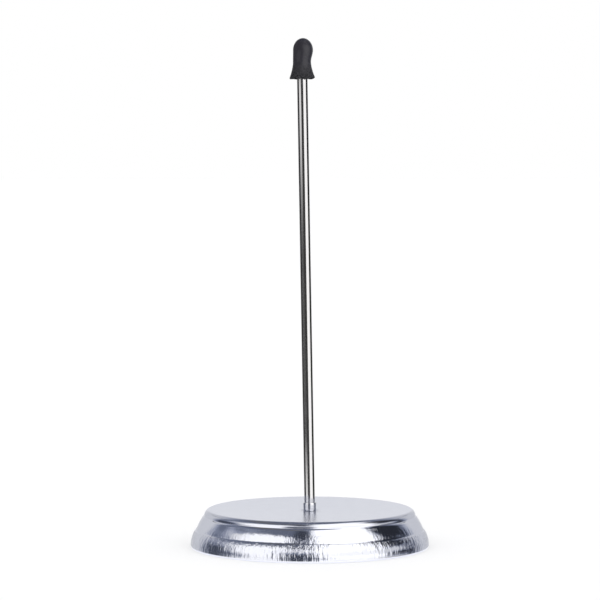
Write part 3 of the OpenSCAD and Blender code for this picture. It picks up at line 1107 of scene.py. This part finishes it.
def make_floor(context, studio):
    """A pale floor that shows white and keeps the object's shadow. Only reflections show its polish."""
    reach = 6.0
    mesh = bpy.data.meshes.new("floor")
    mesh.from_pydata([(-reach, -reach, 0), (reach, -reach, 0), (reach, reach, 0), (-reach, reach, 0)],
                     [], [(0, 1, 2, 3)])
    material, graph = empty_material("pale floor")
    path = graph.add("ShaderNodeLightPath").outputs
    out = graph.size(object_place(graph))
    polish = graph.ease(out, studio.floor_near, studio.floor_near + studio.floor_blend)
    polish = graph.product(polish, path["Is Glossy Ray"])
    shown = graph.math("MAXIMUM", path["Is Camera Ray"], path["Is Glossy Ray"])
    shown = graph.math("MAXIMUM", shown, path["Is Transmission Ray"])
    paint = graph.add("ShaderNodeBsdfDiffuse", {"Color": (*studio.floor, 1)})
    glow = mix(graph, path["Is Glossy Ray"], 1.0, studio.floor_glow)
    white = graph.add("ShaderNodeEmission", {"Strength": glow})
    gloss = graph.add("ShaderNodeBsdfGlossy", {"Color": (*studio.floor, 1), "Roughness": studio.floor_rough})
    white_share = graph.product(shown, studio.floor_white)
    plain = graph.add("ShaderNodeMixShader", {0: white_share, 1: paint.outputs[0], 2: white.outputs[0]})
    show(graph, graph.add("ShaderNodeMixShader", {0: polish, 1: plain.outputs[0], 2: gloss.outputs[0]}))
    mesh.materials.append(material)
    floor = add_object(context, "floor", mesh)


def make_world(context, studio):
    """Even light from all round. The camera sees it white, and the metal sees panels on white."""
    world = bpy.data.worlds.new("studio")
    context.scene.world = world
    world.use_nodes = True
    graph = Graph(world.node_tree)
    level = panel_level(graph, graph.add("ShaderNodeTexCoord").outputs["Generated"])
    path = graph.add("ShaderNodeLightPath").outputs
    plain = graph.math("MAXIMUM", path["Is Camera Ray"], path["Is Transmission Ray"])
    strength = mix(graph, plain, studio.ambient, 1.0)
    strength = mix(graph, path["Is Glossy Ray"], strength, level)
    tint = mix_colour(graph, graph.ease(strength, *TINT_LEVELS), DARK_TINT, (1, 1, 1))
    wire(graph, graph.tree.nodes["Background"], Color=tint, Strength=strength)


def make_lamp(context, studio, name, azimuth, elevation):
    """A broad soft lamp, which lights but doesn't show in the metal."""
    light = bpy.data.lights.new(name, "SUN")
    light.energy = studio.lamp_power
    light.angle = studio.lamp_spread
    lamp = add_object(context, name, light)
    turn, rise = math.radians(azimuth), math.radians(elevation)
    way = Vector((math.sin(turn) * math.cos(rise), -math.cos(turn) * math.cos(rise), math.sin(rise)))
    lamp.location = way
    lamp.rotation_euler = way.to_track_quat("Z", "Y").to_euler()
    lamp.visible_glossy = False


def make_camera(context, studio):
    """The camera, level across and looking slightly down."""
    camera = add_object(context, "camera", bpy.data.cameras.new("camera"))
    camera.data.lens = studio.lens
    camera.location = (studio.camera_side, -studio.camera_distance, studio.camera_height)
    aim = Vector((studio.camera_side, 0, studio.aim_height))
    camera.rotation_euler = (aim - camera.location).to_track_quat("-Z", "Y").to_euler()
    context.scene.camera = camera


class SPIKE_OT_stage(bpy.types.Operator):
    """Sets up the floor, the even light, two soft lamps, the cards round the object and the camera."""

    bl_idname = "spike.stage"
    bl_label = "Studio"

    def execute(self, context):
        studio = context.scene.spike_studio
        context.scene.view_settings.view_transform = "Standard"
        make_camera(context, studio)
        make_world(context, studio)
        make_floor(context, studio)
        for name, place in LAMPS.items():
            make_lamp(context, studio, name, *place)
        for name, card in CARDS.items():
            make_card(context, studio, name, *card)
        return {"FINISHED"}


class SPIKE_PT_panel(bpy.types.Panel):
    """Lists the pieces' operators and their sizes."""

    bl_idname = "SPIKE_PT_panel"
    bl_label = "Bill spike"
    bl_space_type = "VIEW_3D"
    bl_region_type = "UI"
    bl_category = "Bill spike"

    def draw(self, context):
        for operator in OPERATORS:
            self.layout.operator(operator.bl_idname)
        for name, _ in SETTINGS:
            group = getattr(context.scene, name)
            box = self.layout.box()
            for setting in group.__annotations__:
                box.prop(group, setting, text=setting.replace("_", " ").capitalize())


OPERATORS = (SPIKE_OT_stage, SPIKE_OT_base, SPIKE_OT_spindle, SPIKE_OT_ring, SPIKE_OT_fasteners, SPIKE_OT_cap)
SETTINGS = (
    ("spike_base", SpikeBaseSizes),
    ("spike_spindle", SpikeSpindleSizes),
    ("spike_fasteners", SpikeFastenerSizes),
    ("spike_cap", SpikeCapSizes),
    ("spike_finishes", SpikeFinishes),
    ("spike_studio", SpikeStudio),
)


def register():
    """Registers the settings, the operators and the panel."""
    for name, group in SETTINGS:
        bpy.utils.register_class(group)
        setattr(bpy.types.Scene, name, bpy.props.PointerProperty(type=group))
    for kind in (*OPERATORS, SPIKE_PT_panel):
        bpy.utils.register_class(kind)


def unregister():
    """Takes them away again, last first."""
    for kind in reversed((*OPERATORS, SPIKE_PT_panel)):
        bpy.utils.unregister_class(kind)
    for name, group in reversed(SETTINGS):
        delattr(bpy.types.Scene, name)
        bpy.utils.unregister_class(group)


def main():
    """Builds the stage and every piece."""
    register()
    bpy.ops.spike.stage()
    bpy.ops.spike.base()
    bpy.ops.spike.spindle()
    bpy.ops.spike.ring()
    bpy.ops.spike.fasteners()
    bpy.ops.spike.cap()


if __name__ == "__main__":
    main()
